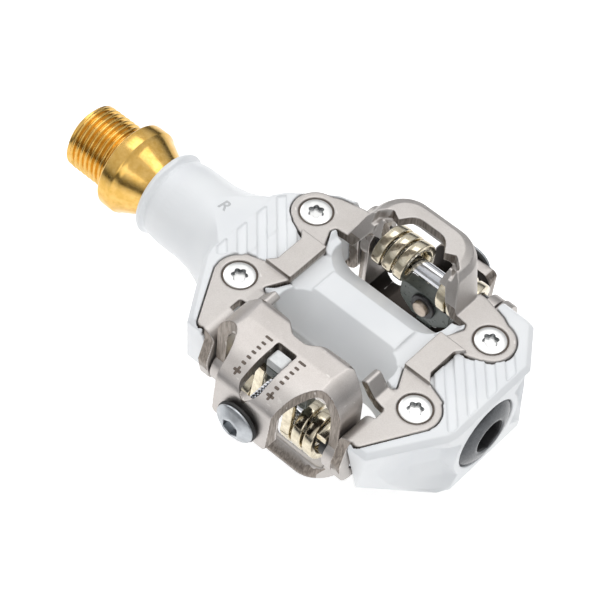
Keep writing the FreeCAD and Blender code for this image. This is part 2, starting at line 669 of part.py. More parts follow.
def tension_indicator():
    return front_prism([(-1.85, 15.0), (1.85, 15.0), (1.85, 17.2, 0.6), (-1.85, 17.2, 0.6)],
                       *POINTER)


# ---- the assembly ------------------------------------------------------------------------


def one_side():
    """The pieces of the cleat mechanism on top."""
    spring = Part.makeCompound(list(torsion_spring()))
    return {
        "cleat_plate": cleat_plate(),
        "plate_screws": plate_screws(),
        "pivot_pin": pivot_pin(),
        "spring_bushes": spring_bushes(),
        "spring_outboard": spring,
        "spring_inboard": mirrored(spring),
        "claw": claw(),
        "bolt_washer": bolt_washer(),
        "tension_bolt": tension_bolt(),
        "tension_block": tension_block(),
        "tension_indicator": tension_indicator(),
    }


def assembly():
    inner_ring, outer_ring = bearing_rings()
    nodes = {
        "spindle_axle": spindle_axle(),
        "bearing_inner_ring": inner_ring,
        "spindle_locknut": spindle_locknut(),
        "bearing_balls": bearing_balls(),
        "bearing_cage": bearing_cage(),
        "body_frame": body_frame(),
        "lip_seal": lip_seal(),
        "inboard_bush": inboard_bush(),
        "bearing_outer_ring": outer_ring,
        "end_cap": end_cap(),
        "end_cap_ring": cap_ring(),
    }
    for name, shape in one_side().items():
        nodes["top_" + name] = shape
        nodes["bottom_" + name] = flip(shape)
    return nodes


os.makedirs("parts", exist_ok=True)
for name, shape in assembly().items():
    placed = shape.copy()
    placed.translate(V(CLEAT_X, 0, 0))
    placed.exportStep("parts/" + name + ".step")
    print(name, len(placed.Solids), placed.isValid(), round(placed.Volume, 2))
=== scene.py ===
import bpy
import bmesh
import json
import math
import random
from mathutils import Matrix, Vector
from mathutils.bvhtree import BVHTree


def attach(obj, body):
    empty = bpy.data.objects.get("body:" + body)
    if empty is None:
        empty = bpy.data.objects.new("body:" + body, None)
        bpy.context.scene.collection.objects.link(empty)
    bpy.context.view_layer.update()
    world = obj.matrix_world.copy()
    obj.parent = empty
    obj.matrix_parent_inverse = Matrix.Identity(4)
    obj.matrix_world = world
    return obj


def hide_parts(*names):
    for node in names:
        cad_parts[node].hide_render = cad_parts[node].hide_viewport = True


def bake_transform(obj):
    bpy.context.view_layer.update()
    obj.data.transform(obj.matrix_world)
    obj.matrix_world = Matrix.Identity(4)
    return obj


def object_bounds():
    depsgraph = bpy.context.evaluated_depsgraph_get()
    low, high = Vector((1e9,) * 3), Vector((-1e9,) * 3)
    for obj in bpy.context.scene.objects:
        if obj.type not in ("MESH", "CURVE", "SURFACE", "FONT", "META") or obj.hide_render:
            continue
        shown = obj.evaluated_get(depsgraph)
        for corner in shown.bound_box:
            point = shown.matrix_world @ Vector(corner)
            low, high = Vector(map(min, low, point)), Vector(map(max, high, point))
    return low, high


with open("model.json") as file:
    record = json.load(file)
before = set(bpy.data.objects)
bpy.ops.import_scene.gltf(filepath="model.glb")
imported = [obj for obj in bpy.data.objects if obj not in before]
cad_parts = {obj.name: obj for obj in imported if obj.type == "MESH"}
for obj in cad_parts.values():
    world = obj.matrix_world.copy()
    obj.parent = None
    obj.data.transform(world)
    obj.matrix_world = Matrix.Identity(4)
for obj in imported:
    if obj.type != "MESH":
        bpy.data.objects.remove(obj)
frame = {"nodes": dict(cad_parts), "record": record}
cad_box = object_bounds()
nodes = frame["nodes"]
scene = bpy.context.scene
random.seed(7)

# Sizes are in millimetres about the cleat centre, as in the CAD model, and become metres in the
# row frame when a mesh is made. The underside is the top turned half a turn about X.
CLEAT_X = 60.8
PIVOT_Y = -21.4
BOLT_Z = 8.6
SEAT_X = -60.8
BODY_TOP = 9.9
HOLLOW_HALF = 12.5            # half the width of the claw's inside
FLIP = Matrix.Rotation(math.pi, 4, "X")
DOWN = Vector((0, 0, -1))


def to_row(point):
    return Vector(((point[0] + CLEAT_X) * 0.001, point[1] * 0.001, point[2] * 0.001))


# ---- mesh helpers ------------------------------------------------------------------------


def shade(obj, degrees=35):
    mesh = obj.data
    mesh.shade_smooth()
    mesh.set_sharp_from_angle(angle=math.radians(degrees))


def new_object(name, points, faces, degrees=35):
    """An object from points in cleat-centred millimetres."""
    mesh = bpy.data.meshes.new(name)
    mesh.from_pydata([to_row(p) for p in points], [], faces)
    mesh.validate()
    bm = bmesh.new()
    bm.from_mesh(mesh)
    bmesh.ops.remove_doubles(bm, verts=bm.verts, dist=1e-7)
    bmesh.ops.recalc_face_normals(bm, faces=bm.faces)
    bm.to_mesh(mesh)
    bm.free()
    obj = bpy.data.objects.new(name, mesh)
    scene.collection.objects.link(obj)
    shade(obj, degrees)
    return obj


def finish_piece(obj, body, material, replaced=()):
    obj.data.materials.clear()
    obj.data.materials.append(material)
    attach(obj, body)
    if replaced:
        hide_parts(*replaced)


def underside(obj):
    """A copy of a top piece, whose name starts with top_, for the underside."""
    copy = bpy.data.objects.new("bottom" + obj.name[3:], obj.data.copy())
    scene.collection.objects.link(copy)
    copy.data.transform(FLIP)
    return copy


def finish_pair(obj, body, material, replaced=()):
    """Finishes a top piece and its copy for the underside.

    A body or node whose name starts with an underscore has one of its kind on each side.
    """
    for piece, side in ((obj, "top"), (underside(obj), "bottom")):
        own_body = side + body if body.startswith("_") else body
        finish_piece(piece, own_body, material, [side + node for node in replaced])


def join(name, objects):
    points = []
    faces = []
    for obj in objects:
        base = len(points)
        points += [tuple(v.co) for v in obj.data.vertices]
        faces += [tuple(i + base for i in p.vertices) for p in obj.data.polygons]
        bpy.data.objects.remove(obj)
    mesh = bpy.data.meshes.new(name)
    mesh.from_pydata(points, [], faces)
    joined = bpy.data.objects.new(name, mesh)
    scene.collection.objects.link(joined)
    shade(joined)
    return joined


def apply_modifiers(obj):
    graph = bpy.context.evaluated_depsgraph_get()
    mesh = bpy.data.meshes.new_from_object(obj.evaluated_get(graph))
    obj.modifiers.clear()
    obj.data = mesh


def softened(node, name, voxel, smooth, ratio, carve=None):
    """A copy of a CAD node with its edges rounded, as casting, blasting and paint leave them."""
    obj = bpy.data.objects.new(name, nodes[node].data.copy())
    scene.collection.objects.link(obj)
    remesh = obj.modifiers.new("remesh", "REMESH")
    remesh.mode = "VOXEL"
    remesh.voxel_size = voxel * 0.001
    remesh.adaptivity = 0.0
    smoothing = obj.modifiers.new("smooth", "SMOOTH")
    smoothing.factor = 0.5
    smoothing.iterations = smooth
    if carve:
        apply_modifiers(obj)
        carve(obj.data)
    if ratio < 1:
        decimate = obj.modifiers.new("decimate", "DECIMATE")
        decimate.ratio = ratio
    apply_modifiers(obj)
    obj.data.materials.clear()
    shade(obj, 60)
    return obj


def surface_of(obj):
    return BVHTree.FromPolygons([v.co for v in obj.data.vertices],
                                [tuple(p.vertices) for p in obj.data.polygons])


def blurred(mesh, values):
    """The average of each point's value with its neighbours', taken twice."""
    for _ in range(2):
        total = list(values)
        count = [1] * len(values)
        for edge in mesh.edges:
            a, b = edge.vertices
            total[a] += values[b]
            total[b] += values[a]
            count[a] += 1
            count[b] += 1
        values = [t / c for t, c in zip(total, count)]
    return values


def store(mesh, name, values):
    layer = mesh.attributes.new(name, "FLOAT", "POINT")
    layer.data.foreach_set("value", blurred(mesh, values))


def on_loop_rim(x, y, normal):
    """The blank's sheared outer edge round the catch loop."""
    return y > 21.0 and abs(x) < 15.5 and normal.y > 0.4 and abs(normal.z) < 0.75


def on_loop_leg(x, y, z, normal):
    """The broad side of a loop leg, which is never a sheared edge."""
    return abs(x) > 8.5 and y > 9.0 and z > 10.3 and abs(normal.x) > 0.5


def mark_surfaces(obj, thickness, steep, hollow=None):
    """Stores on a sheet part which points lie on sheared edges and which face its hollow.

    An edge point has more metal behind it than the sheet is thick. Points that face the hollow are
    stored to get painted shade.
    """
    mesh = obj.data
    tree = surface_of(obj)
    cut = []
    inside = []
    for vertex in mesh.vertices:
        inward = -vertex.normal
        hit = tree.ray_cast(vertex.co + inward * 0.0002, inward, 0.02)
        depth = hit[3] if hit[0] is not None else 0.02
        edge = depth > thickness * 0.001 and abs(vertex.normal.z) < steep
        x, y, z = vertex.co.x * 1000 - CLEAT_X, vertex.co.y * 1000, vertex.co.z * 1000
        if hollow is None:
            edge = on_loop_rim(x, y, vertex.normal) or edge and not on_loop_leg(x, y, z, vertex.normal)
        cut.append(1.0 if edge else 0.0)
        # Painted shade: walls facing the claw's hollow are marked to be darkened to near black.
        faces_in = (hollow is not None and abs(vertex.co.x - hollow.x) < HOLLOW_HALF * 0.001
                    and (hollow - vertex.co).dot(vertex.normal) > 0.0012)
        inside.append(1.0 if faces_in and not edge else 0.0)
    store(mesh, "cut", cut)
    store(mesh, "inside", inside)


def hexagon(across):
    """The radius of a hexagon as a function of the angle."""
    return lambda a: across / 2 / math.cos((a + math.pi / 6) % (math.pi / 3) - math.pi / 6)


def star(radius, depth):
    """The radius of a six-lobe socket as a function of the angle."""
    return lambda a: radius - depth + depth * (0.5 + 0.5 * math.cos(6 * a)) ** 0.8


def lathe(name, rings, origin, axis, up, segments=96, degrees=35):
    """Stitches rings (distance, radius or radius by angle) along an axis and caps both ends."""
    axis = Vector(axis)
    side = axis.cross(Vector(up)).normalized()
    top = side.cross(axis).normalized()
    points = []
    faces = []
    for distance, radius in rings:
        for i in range(segments):
            angle = 2 * math.pi * i / segments
            r = radius(angle) if callable(radius) else radius
            points.append(Vector(origin) + axis * distance
                          + (side * math.cos(angle) + top * math.sin(angle)) * r)
    for k in range(len(rings) - 1):
        for i in range(segments):
            j = (i + 1) % segments
            a, b = k * segments, (k + 1) * segments
            faces.append((a + i, a + j, b + j, b + i))
    faces.append(tuple(range(segments)))
    last = (len(rings) - 1) * segments
    faces.append(tuple(last + i for i in range(segments)))
    return new_object(name, points, faces, degrees)


def threaded_rings(start, end, pitch, radius, depth, steps=10):
    """The rings of a screw thread, as (distance, radius by angle)."""
    rings = []
    count = int((end - start) / pitch * steps)
    for k in range(count + 1):
        distance = start + (end - start) * k / count
        fade = min(1.0, (distance - start) / pitch, (end - distance) / pitch)

        def radius_at(angle, distance=distance, fade=fade):
            phase = (distance / pitch + angle / (2 * math.pi)) % 1.0
            root = 0.5 + 0.5 * math.cos(2 * math.pi * phase)
            return radius - depth * root ** 1.4 * fade - depth * 0.15 * (1 - fade)

        rings.append((distance, radius_at))
    return rings


def sweep(name, path, width, thick, corner, normal_hint, degrees=40):
    """A rounded flat wire swept along a path, its width kept along normal_hint."""
    outline = []
    for sx, sy, start in ((1, 1, 0), (-1, 1, 90), (-1, -1, 180), (1, -1, 270)):
        for k in range(4):
            angle = math.radians(start + 30 * k)
            outline.append((sx * (width / 2 - corner) + corner * math.cos(angle),
                            sy * (thick / 2 - corner) + corner * math.sin(angle)))
    hint = Vector(normal_hint)
    points = []
    faces = []
    count = len(outline)
    for i, spot in enumerate(path):
        before = path[max(i - 1, 0)]
        after = path[min(i + 1, len(path) - 1)]
        tangent = (after - before).normalized()
        across = (hint - tangent * hint.dot(tangent)).normalized()
        out = tangent.cross(across)
        for u, v in outline:
            points.append(spot + across * u + out * v)
    for i in range(len(path) - 1):
        for k in range(count):
            m = (k + 1) % count
            a, b = i * count, (i + 1) * count
            faces.append((a + k, a + m, b + m, b + k))
    faces.append(tuple(range(count)))
    last = (len(path) - 1) * count
    faces.append(tuple(last + k for k in range(count)))
    return new_object(name, points, faces, degrees)


# ---- materials ---------------------------------------------------------------------------


class Shader:
    """A node material with object coordinates, which stay with the piece as it moves."""

    def __init__(self, name):
        self.material = bpy.data.materials.new(name)
        self.material.use_nodes = True
        self.tree = self.material.node_tree
        self.bsdf = self.tree.nodes["Principled BSDF"]
        self.place = self.tree.nodes.new("ShaderNodeTexCoord").outputs["Object"]

    def node(self, kind, settings=None, **inputs):
        made = self.tree.nodes.new(kind)
        for key, value in (settings or {}).items():
            setattr(made, key, value)
        for key, value in inputs.items():
            self.feed(made.inputs[key.replace("_", " ")], value)
        return made

    def feed(self, socket, value):
        if isinstance(value, bpy.types.NodeSocket):
            self.tree.links.new(value, socket)
        else:
            socket.default_value = value

    def set(self, **inputs):
        for key, value in inputs.items():
            self.feed(self.bsdf.inputs[key.replace("_", " ")], value)

    def noise(self, scale, detail=3.0, stretch=(1, 1, 1), rough=0.5):
        place = self.place
        if stretch != (1, 1, 1):
            place = self.node("ShaderNodeMapping", Vector=place, Scale=stretch).outputs[0]
        return self.node("ShaderNodeTexNoise", Vector=place, Scale=scale, Detail=detail,
                         Roughness=rough).outputs[0]

    def ramp(self, value, stops):
        made = self.tree.nodes.new("ShaderNodeValToRGB")
        self.feed(made.inputs[0], value)
        elements = made.color_ramp.elements
        while len(elements) < len(stops):
            elements.new(0.5)
        for element, (place, color) in zip(elements, stops):
            element.position = place
            element.color = color if len(color) == 4 else (*color, 1.0)
        return made.outputs[0]

    def range(self, value, low, high, to_low, to_high):
        made = self.node("ShaderNodeMapRange", Value=value)
        for key, number in (("From Min", low), ("From Max", high), ("To Min", to_low),
                            ("To Max", to_high)):
            made.inputs[key].default_value = number
        return made.outputs[0]

    def mix(self, factor, first, second, blend="MIX"):
        made = self.tree.nodes.new("ShaderNodeMix")
        made.data_type = "RGBA"
        made.blend_type = blend
        self.feed(made.inputs[0], factor)
        self.feed(made.inputs[6], first)
        self.feed(made.inputs[7], second)
        return made.outputs[2]

    def math(self, operation, first, second=0.0):
        made = self.tree.nodes.new("ShaderNodeMath")
        made.operation = operation
        self.feed(made.inputs[0], first)
        self.feed(made.inputs[1], second)
        return made.outputs[0]

    def relief(self, height, distance, bevel=0.0, strength=1.0):
        """Fine relief over edges softened by a bevel radius in millimetres."""
        made = self.node("ShaderNodeBump", Height=height, Distance=distance * 0.001,
                         Strength=strength)
        if bevel:
            edge = self.node("ShaderNodeBevel", settings={"samples": 4}, Radius=bevel * 0.001)
            self.feed(made.inputs["Normal"], edge.outputs[0])
        self.feed(self.bsdf.inputs["Normal"], made.outputs[0])

    def pointed(self, low, high):
        """Rises from 0 to 1 on convex edges of a fine mesh."""
        point = self.tree.nodes.new("ShaderNodeNewGeometry").outputs["Pointiness"]
        return self.range(point, low, high, 0.0, 1.0)


def paint():
    s = Shader("white_paint")
    cloud = s.noise(90, 2)
    tone = s.ramp(cloud, [(0.3, (0.80, 0.82, 0.84)), (0.7, (0.86, 0.875, 0.885))])
    s.set(Base_Color=tone, Roughness=0.38, Coat_Weight=0.25, Coat_Roughness=0.25)
    fine = s.math("MULTIPLY", s.noise(2200, 2), 0.7)
    coarse = s.math("MULTIPLY", s.noise(500, 2), 0.6)
    skin = s.math("ADD", fine, coarse)
    s.relief(skin, 0.010, bevel=0.25)
    return s.material


def blasted(name, face_dark, face_light, cut_dark, cut_light, rough):
    """Bead-blasted steel with darker, streaked sheared edges, a painted highlight along convex edges
    and painted shade where it faces a hollow.
    """
    s = Shader(name)
    grain = s.noise(5200, 3, rough=0.6)
    stain = s.noise(160, 4, rough=0.6)
    blend = s.math("ADD", s.math("MULTIPLY", grain, 0.45), s.math("MULTIPLY", stain, 0.55))
    face = s.ramp(blend, [(0.38, face_dark), (0.62, face_light)])
    streak = s.noise(2600, 3, stretch=(1.0, 1.0, 0.12), rough=0.65)
    cut = s.ramp(streak, [(0.35, cut_dark), (0.65, cut_light)])
    where = s.node("ShaderNodeAttribute", settings={"attribute_name": "cut"}).outputs["Fac"]
    where = s.range(where, 0.35, 0.65, 0.0, 1.0)
    color = s.mix(where, face, cut)
    # Painted shade: the claw's walls facing its hollow are darkened to near black.
    hollow_shade_mask = s.node("ShaderNodeAttribute", settings={"attribute_name": "inside"}).outputs["Fac"]
    color = s.mix(hollow_shade_mask, color, (0.055, 0.047, 0.042, 1.0))
    # Painted highlight: convex edges are lightened towards a pale steel colour.
    painted_edge_highlight = s.math("MULTIPLY", s.pointed(0.55, 0.62), s.range(grain, 0.3, 0.7, 0.5, 1.0))
    color = s.mix(painted_edge_highlight, color, (0.74, 0.71, 0.68, 1.0))
    rougher = s.range(stain, 0.3, 0.7, rough - 0.05, rough + 0.06)
    rough_mix = s.node("ShaderNodeMix", settings={"data_type": "FLOAT"})
    s.feed(rough_mix.inputs[0], where)
    s.feed(rough_mix.inputs[2], rougher)
    rough_mix.inputs[3].default_value = 0.40
    s.set(Base_Color=color, Metallic=1.0, Roughness=rough_mix.outputs[0])
    height = s.mix(where, grain, streak)
    s.relief(height, 0.012)
    return s.material


def polished(name, dark, light, rough, scratch=0.3, bevel=0.12, metallic=1.0):
    """Plated or polished metal with faint scratches and uneven gloss."""
    s = Shader(name)
    cloud = s.noise(700, 4, rough=0.6)
    s.set(Base_Color=s.ramp(cloud, [(0.35, dark), (0.65, light)]), Metallic=metallic,
          Roughness=s.range(s.noise(1800, 4, rough=0.7), 0.3, 0.7, rough, rough + 0.12))
    lines = s.noise(4200, 3, stretch=(1.0, 0.15, 1.0), rough=0.6)
    s.relief(lines, 0.004 * scratch, bevel=bevel)
    return s.material


def plastic(name, dark, light, rough, bump=0.02, bevel=0.1):
    s = Shader(name)
    cloud = s.noise(900, 4, rough=0.65)
    s.set(Base_Color=s.ramp(cloud, [(0.3, dark), (0.7, light)]),
          Roughness=s.range(cloud, 0.3, 0.7, rough - 0.06, rough + 0.08))
    s.relief(s.noise(3000, 4), bump, bevel=bevel)
    return s.material


MATERIALS = {
    "white_paint": paint(),
    "steel_plate": blasted("steel_plate", (0.52, 0.49, 0.465), (0.62, 0.59, 0.565),
                           (0.17, 0.145, 0.125), (0.33, 0.29, 0.255), 0.46),
    "claw_steel": blasted("claw_steel", (0.52, 0.485, 0.46), (0.63, 0.595, 0.57),
                          (0.17, 0.145, 0.125), (0.35, 0.31, 0.275), 0.42),
    "chrome": polished("chrome", (0.62, 0.63, 0.66), (0.76, 0.77, 0.80), 0.08, 0.15),
    "bolt_head": polished("bolt_head", (0.42, 0.44, 0.46), (0.54, 0.56, 0.58), 0.28),
    "zinc": polished("zinc", (0.80, 0.80, 0.79), (0.90, 0.90, 0.88), 0.28),
    "gold": polished("gold", (0.72, 0.43, 0.10), (0.84, 0.54, 0.17), 0.13, 0.2),
    "spring_steel": polished("spring_steel", (0.58, 0.51, 0.38), (0.80, 0.73, 0.58), 0.09, 0.15),
    "bearing_steel": polished("bearing_steel", (0.60, 0.60, 0.62), (0.72, 0.72, 0.74), 0.15),
    "bronze": polished("bronze", (0.46, 0.39, 0.33), (0.60, 0.52, 0.44), 0.34),
    "block_dark": plastic("block_dark", (0.085, 0.10, 0.092), (0.13, 0.145, 0.135), 0.30),
    "indicator_white": plastic("indicator_white", (0.72, 0.74, 0.74), (0.86, 0.87, 0.87), 0.42, 0.05),
    "black_plastic": plastic("black_plastic", (0.012, 0.012, 0.014), (0.03, 0.03, 0.033), 0.35),
    # Painted shade: the socket material is a darker zinc for the walls of each screw's six-lobe
    # socket.
    "socket": polished("socket", (0.20, 0.205, 0.21), (0.40, 0.41, 0.42), 0.25),
    # Painted shade: near black for the recess of the cap's hex socket.
    "hollow_black": plastic("hollow_black", (0.003, 0.003, 0.004), (0.006, 0.006, 0.007), 0.7),
    "black_rubber": plastic("black_rubber", (0.015, 0.015, 0.015), (0.03, 0.03, 0.03), 0.6),
    "cap_dark": polished("cap_dark", (0.075, 0.078, 0.083), (0.10, 0.104, 0.11), 0.20, 0.2,
                         metallic=0.9),
    # The mark material colours the roof's tension marks, and is also painted shade in the gaps round
    # the screw heads.
    "mark": plastic("mark", (0.10, 0.075, 0.06), (0.17, 0.135, 0.11), 0.6),
    "letter": plastic("letter", (0.50, 0.51, 0.52), (0.58, 0.59, 0.60), 0.5),
}

for row in frame["record"]["subparts"]:
    mesh = nodes[row["node"]].data
    mesh.materials.clear()
    mesh.materials.append(MATERIALS[row["material_slot"]])

# ---- body, plates and claws --------------------------------------------------------------

LETTER_X = -35.4
LETTER_Y = -0.4
MARK_X = 4.0
MARKED_X = (2.7, 5.4)         # the strip of roof that the marks lie in
MARKED_Y = (-32.4, -21.7)
MARKED_Z = 13.5
PLAIN_X = 6.0                 # plain roof beside the marks
DASH = (0.0, -22.6, 0.85, 0.27)
TICKS = [(0.0, -24.05 - 1.31 * i, 0.5, 0.27) for i in range(5)]
CROSS = [(0.0, -31.0, 0.85, 0.27), (0.0, -31.0, 0.27, 0.85)]


def fill_marks(obj):
    """Levels the roof where the tension marks go with the plain strip beside them.

    The marks are laid in as pieces of their own.
    """
    tree = surface_of(obj)
    for vertex in obj.data.vertices:
        x = vertex.co.x * 1000 - CLEAT_X
        y = vertex.co.y * 1000
        marked = MARKED_X[0] < abs(x) < MARKED_X[1] and MARKED_Y[0] < y < MARKED_Y[1]
        if marked and vertex.co.z > MARKED_Z * 0.001 and vertex.normal.z > 0.0:
            plain = tree.ray_cast(to_row((PLAIN_X, y, 30.0)), DOWN)[0]
            vertex.co.z = max(vertex.co.z, plain.z)


def slab(x, y, half_x, half_y, tree):
    """A thin rounded bar laid on the claw's roof."""
    corner = min(half_x, half_y) * 0.75
    outline = []
    for sx, sy, start in ((1, 1, 0), (-1, 1, 90), (-1, -1, 180), (1, -1, 270)):
        for k in range(4):
            angle = math.radians(start + 30 * k)
            outline.append((x + sx * (half_x - corner) + corner * math.cos(angle),
                            y + sy * (half_y - corner) + corner * math.sin(angle)))
    count = len(outline)
    points = []
    for lift in (-0.10, 0.02):
        for px, py in outline:
            spot = tree.ray_cast(to_row((px, py, 30.0)), DOWN)[0]
            points.append((px, py, spot.z * 1000 + lift))
    faces = [tuple(range(count, 2 * count))]
    for k in range(count):
        m = (k + 1) % count
        faces.append((k, m, count + m, count + k))
    return new_object("mark", points, faces)


def side_letter(name, place, height):
    """The R that marks the right-hand pedal, laid on the facet of the neck."""
    curve = bpy.data.curves.new(name, "FONT")
    curve.body = "R"
    curve.align_x = "CENTER"
    curve.align_y = "CENTER"
    curve.size = height * 0.001 / 0.7
    curve.shear = 0.15
    curve.extrude = 0.00003
    curve.offset = 0.00007
    text = bpy.data.objects.new(name, curve)
    scene.collection.objects.link(text)
    graph = bpy.context.evaluated_depsgraph_get()
    mesh = bpy.data.meshes.new_from_object(text.evaluated_get(graph))
    bpy.data.objects.remove(text)
    mesh.transform(Matrix.Translation(to_row(place)) @ Matrix.Rotation(math.radians(-3.3), 4, "Y"))
    obj = bpy.data.objects.new(name, mesh)
    scene.collection.objects.link(obj)
    return obj


BEAD_X = -50.0
GROOVE_X = -48.95
NECK_DETAIL = 0.45            # half width of the bead and of the groove


def carve_neck(mesh):
    """Sharpens the rolled bead at the end of the neck with the groove behind it."""
    for vertex in mesh.vertices:
        x = vertex.co.x * 1000 - CLEAT_X
        radius = math.hypot(vertex.co.y, vertex.co.z) * 1000
        if -51.0 < x < -47.6 and radius > 8.0:
            bead = 0.22 * math.exp(-((x - BEAD_X) / NECK_DETAIL) ** 2)
            groove = 0.32 * math.exp(-((x - GROOVE_X) / NECK_DETAIL) ** 2)
            scale = 1.0 + (bead - groove) / radius
            vertex.co.y *= scale
            vertex.co.z *= scale


body = softened("body_frame", "frame_shell", 0.21, 2, 0.26, carve_neck)
finish_piece(body, "pedal_body", MATERIALS["white_paint"], ["body_frame"])
letter = side_letter("top_letter", (LETTER_X, LETTER_Y, 8.9 + (LETTER_X + 46.5) * 0.0577), 2.3)
finish_pair(letter, "pedal_body", MATERIALS["letter"])

plate = softened("top_cleat_plate", "top_plate", 0.16, 5, 0.40)
mark_surfaces(plate, 2.9, 0.35)
claw = softened("top_claw", "top_claw_shell", 0.13, 4, 0.45)
fill_marks(claw)
# The claw's walls facing this point take painted shade.
mark_surfaces(claw, 2.9, 0.9, to_row((0, -24.5, 7.0)))
roof = surface_of(claw)
marks = join("top_marks", [slab(sign * MARK_X + x, y, half_x, half_y, roof) for sign in (1, -1)
                           for x, y, half_x, half_y in [DASH] + TICKS + CROSS])
finish_pair(marks, "_claw", MATERIALS["mark"])
finish_pair(plate, "pedal_body", MATERIALS["steel_plate"], ["_cleat_plate"])
finish_pair(claw, "_claw", MATERIALS["claw_steel"], ["_claw"])

# ---- spindle, cap and screws -------------------------------------------------------------

end_x = SEAT_X - 11.45
spindle_rings = [(8.0, hexagon(8.0)), (0.8, hexagon(8.0)), (0.35, 4.75), (0.0, 5.0), (0.0, 5.9),
                 (0.35, 6.3), (0.7, 6.45)]
spindle_rings += threaded_rings(0.8, 10.6, 1.27, 7.13, 0.70, 16)
spindle_rings += [(10.7, 6.35), (11.3, 6.35), (11.45, 6.5), (11.45, 8.9), (11.55, 9.25), (11.8, 9.43),
                  (14.45, 9.43), (14.75, 9.3), (14.9, 9.1), (16.0, 8.55), (17.6, 7.72), (19.0, 7.0),
                  (20.0, 6.52), (20.7, 6.24), (21.4, 6.06), (22.2, 5.98), (36.3, 5.98), (37.7, 4.69),
                  (84.0, 4.69)]
spindle = lathe("spindle_shaft", spindle_rings, (end_x, 0, 0), (1, 0, 0), (0, 0, 1), 160, 30)
finish_piece(spindle, "spindle", MATERIALS["gold"], ["spindle_axle"])

cap_rings = [(0.0, 6.0), (1.4, 6.0), (1.4, 7.6), (4.25, 7.62), (4.5, 7.5), (4.75, 7.15), (5.1, 6.55),
             (5.4, 5.85), (5.62, 5.1), (5.76, 4.5), (5.8, 4.15), (5.76, 3.85), (5.6, 3.62),
             (5.45, hexagon(6.2)), (5.2, hexagon(6.02)), (2.1, hexagon(6.0))]
cap = lathe("nose_cap", cap_rings, (26.2, 0, 0), (1, 0, 0), (0, 0, 1), 96, 40)
finish_piece(cap, "pedal_body", MATERIALS["cap_dark"], ["end_cap"])
# Painted shade: the faces of the hex socket get the near-black material.
cap.data.materials.append(MATERIALS["hollow_black"])
for face in cap.data.polygons:
    if math.hypot(face.center.y, face.center.z) < 0.0036:
        face.material_index = 1


def plate_screw(x, y):
    top = BODY_TOP
    rings = [(2.5 - top, 1.9), (-1.75, 1.95), (-1.7, 3.1), (-0.32, 3.14), (-0.18, 3.1), (-0.09, 2.98),
             (-0.06, 2.3), (-0.06, star(1.66, 0.40)), (-0.14, star(1.58, 0.40)),
             (-0.95, star(1.5, 0.40))]
    turn = random.uniform(0, 60)
    up = (math.cos(math.radians(turn)), math.sin(math.radians(turn)), 0)
    return lathe("screw", rings, (x, y, top), (0, 0, 1), up, 72, 40)


def screw_gap_shade(x, y):
    """A dark ring of painted shade round a screw head, down in the gap of the plate's counterbore."""
    rings = [(-1.5, 3.42), (-0.35, 3.42), (-0.3, 3.36), (-0.42, 3.12), (-1.4, 3.12)]
    return lathe("seat", rings, (x, y, BODY_TOP), (0, 0, 1), (1, 0, 0), 64, 40)


SPOTS = [(x, y) for x in (21.72, -21.72) for y in (10.8, -10.8)]
screws = join("top_screws", [plate_screw(x, y) for x, y in SPOTS])
screws.data.materials.append(MATERIALS["zinc"])
screws.data.materials.append(MATERIALS["socket"])
# Painted shade: the walls of each screw's socket get the darker socket material.
for face in screws.data.polygons:
    place = face.center * 1000 - Vector((CLEAT_X, 0, BODY_TOP))
    reach = min(math.hypot(place.x - x, place.y - y) for x, y in SPOTS)
    if -1.2 < place.z and reach < 1.62 and abs(face.normal.z) < 0.9:
        face.material_index = 1
for piece, side in ((screws, "top"), (underside(screws), "bottom")):
    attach(piece, "pedal_body")
    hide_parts(side + "_plate_screws")
# Painted shade: dark rings fill the gaps round the screw heads.
gap_shades = join("top_screw_seats", [screw_gap_shade(x, y) for x, y in SPOTS])
finish_pair(gap_shades, "pedal_body", MATERIALS["mark"])

# ---- pivot pins and springs --------------------------------------------------------------

pin_rings = [(-17.6, 0.9), (-17.55, 1.3), (-17.3, 1.62), (-17.0, 1.75), (17.0, 1.75), (17.3, 1.62),
             (17.55, 1.3), (17.6, 0.9)]
pin = lathe("top_pin", pin_rings, (0, PIVOT_Y, 0), (1, 0, 0), (0, 0, 1), 64)
finish_pair(pin, "pedal_body", MATERIALS["chrome"], ["_pivot_pin"])

COIL_RADIUS = 3.9             # of the wire's middle
COIL_START = 4.0              # inner end of a coil, from the middle of the pin
COIL_PITCH = 2.72
COIL_TURNS = 2.75
LEG_LENGTH = 11.4
LEG_LEAN = 1.25


def coil_point(sign, angle):
    """A point of the coil's middle line."""
    return Vector((sign * (COIL_START + COIL_PITCH * angle / (2 * math.pi)),
                   PIVOT_Y - COIL_RADIUS * math.cos(angle), -COIL_RADIUS * math.sin(angle)))


def spring_coil(sign, name):
    """The coil, with a short straight end."""
    steps = 44
    path = [coil_point(sign, 2 * math.pi * k / steps) for k in range(int(COIL_TURNS * steps) + 1)]
    last = path[-1]
    for k in range(1, 7):
        path.append(Vector((last.x, last.y - 0.5 * k, last.z)))
    return sweep(name, path, 2.15, 1.6, 0.35, (1, 0, 0))


def spring_leg(sign, name):
    """The leg from the coil up behind the tension block, leaning forward on to it."""
    path = [coil_point(sign, math.radians(9 * k)) for k in range(5, 0, -1)]
    for k in range(25):
        t = k / 24
        path.append(Vector((sign * (COIL_START - 0.35 * t * t), PIVOT_Y - COIL_RADIUS + LEG_LEAN * t,
                            LEG_LENGTH * t)))
    return sweep(name, path, 2.1, 1.5, 0.3, (1, 0, 0))


for sign, place in ((1, "outboard"), (-1, "inboard")):
    coil = spring_coil(sign, "top_coil_" + place)
    finish_pair(coil, "pedal_body", MATERIALS["spring_steel"], ["_spring_" + place])
    leg = spring_leg(sign, "top_leg_" + place)
    leg.data.materials.append(MATERIALS["spring_steel"])
    for piece, side, up in ((leg, "top", 1), (underside(leg), "bottom", -1)):
        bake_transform(piece)

# ---- bolt, washer, block and indicator ---------------------------------------------------

